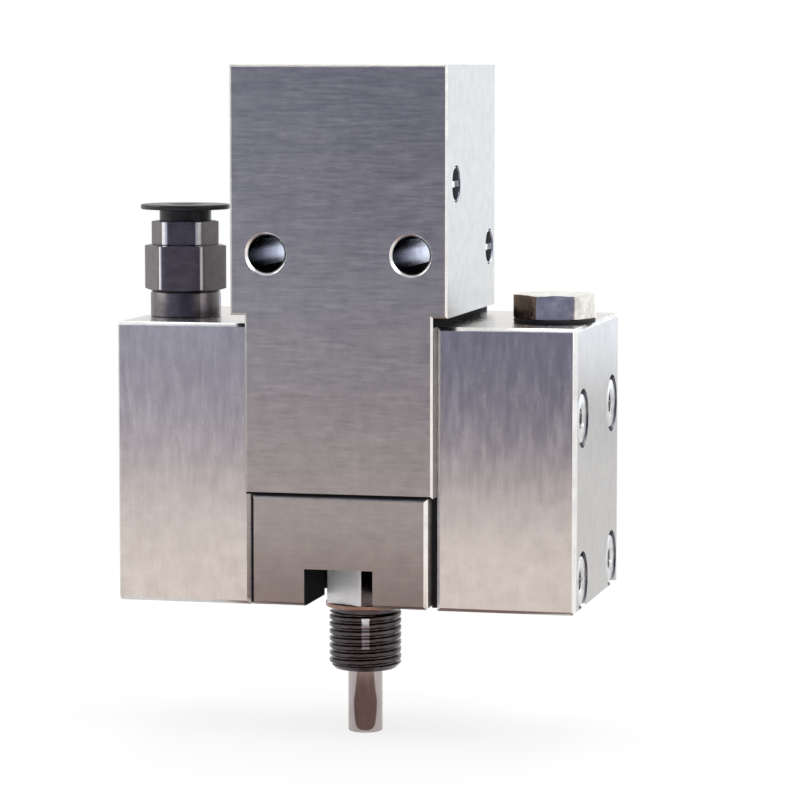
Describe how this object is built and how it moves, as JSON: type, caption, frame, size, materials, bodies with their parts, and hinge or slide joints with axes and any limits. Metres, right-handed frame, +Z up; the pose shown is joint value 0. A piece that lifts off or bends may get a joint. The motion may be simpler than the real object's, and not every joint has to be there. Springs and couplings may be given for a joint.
{
  "type": "dispensing valve",
  "caption": "Slim pneumatic needle dispensing valve with a stepped square body, two side fluid blocks, a threaded outlet with a tube, a hose fitting and a purge plug.",
  "frame": {"origin": "middle of the open lower end of the outlet tube, on the valve axis", "axes": "+Z up along the valve axis from the outlet to the top, +X to the right seen from the front, +Y from the front to the mounting face at the back"},
  "size_m": [0.0642, 0.0345, 0.0924],
  "materials": {
    "body_steel": "milled and fine brushed stainless steel",
    "block_steel": "fine brushed stainless steel",
    "bright_steel": "turned bright steel",
    "black_steel": "blackened steel, satin",
    "screw_steel": "stainless screws",
    "spring_steel": "spring wire",
    "copper": "copper ring",
    "bronze": "bearing bronze",
    "shim_dark": "dark shim sheet",
    "seal_rubber": "black elastomer",
    "seal_plastic": "white seal plastic",
    "black_plastic": "black moulded plastic",
    "aluminium": "turned aluminium"
  },
  "bodies": {
    "housing": {"valve_body": "body_steel", "seat_block": "body_steel", "seat_block_screws": "screw_steel", "seat_block_dowels": "bright_steel", "seat_block_seal": "seal_rubber", "valve_seat": "bright_steel", "outlet_fitting": "black_steel", "outlet_copper_ring": "copper", "outlet_tube": "bright_steel", "inlet_block": "block_steel", "inlet_block_screws": "screw_steel", "inlet_shim": "shim_dark", "inlet_port_seal": "seal_rubber", "purge_block": "block_steel", "purge_block_screws": "screw_steel", "purge_shim": "shim_dark", "purge_port_seal": "seal_rubber", "rod_seal": "seal_plastic", "guide_bush": "bronze", "seal_retainer": "bright_steel", "air_gland": "bronze", "gland_seal": "seal_rubber", "return_spring": "spring_steel", "top_cap": "aluminium", "cap_seal": "seal_rubber", "cap_retaining_ring": "spring_steel", "adjuster_lock_nut": "screw_steel", "vent_plug": "screw_steel", "mount_clamp_screw": "screw_steel", "inlet_fitting_body": "black_steel", "inlet_fitting_nut": "black_steel", "tube_gripper": "spring_steel", "hex_plug": "bright_steel", "plug_washer": "seal_rubber"},
    "needle_assembly": {"needle": "bright_steel", "piston": "aluminium", "piston_seal": "seal_rubber", "piston_nut": "screw_steel"},
    "stroke_stop": {"stroke_stop_pad": "bright_steel"},
    "stroke_adjuster": {"stroke_adjuster_screw": "screw_steel"},
    "hose_release": {"release_collar": "black_plastic"}
  },
  "joints": [
    {"name": "needle_lift", "type": "slide", "parent": "housing", "child": "needle_assembly", "axis": [0, 0, 1], "range_m": [0, 0.001], "stiffness_N_per_m": 3000, "springref_m": -0.002, "deforming": ["return_spring"]},
    {"name": "stroke_stop_slide", "type": "slide", "parent": "housing", "child": "stroke_stop", "axis": [0, 0, 1], "range_m": [-0.001, 0.001]},
    {"name": "adjuster_turn", "type": "hinge", "parent": "stroke_stop", "child": "stroke_adjuster", "pos_m": [0, 0, 0.0866], "axis": [0, 0, 1], "range_deg": [-482, 482]},
    {"name": "hose_release_press", "type": "slide", "parent": "housing", "child": "hose_release", "axis": [0, 0, 1], "range_m": [-0.0012, 0], "stiffness_N_per_m": 800, "springref_m": 0.0005}
  ],
  "couplings": [
    {"joint": "adjuster_turn", "follows": "stroke_stop_slide", "rad_per_m": 8377.6}
  ]
}
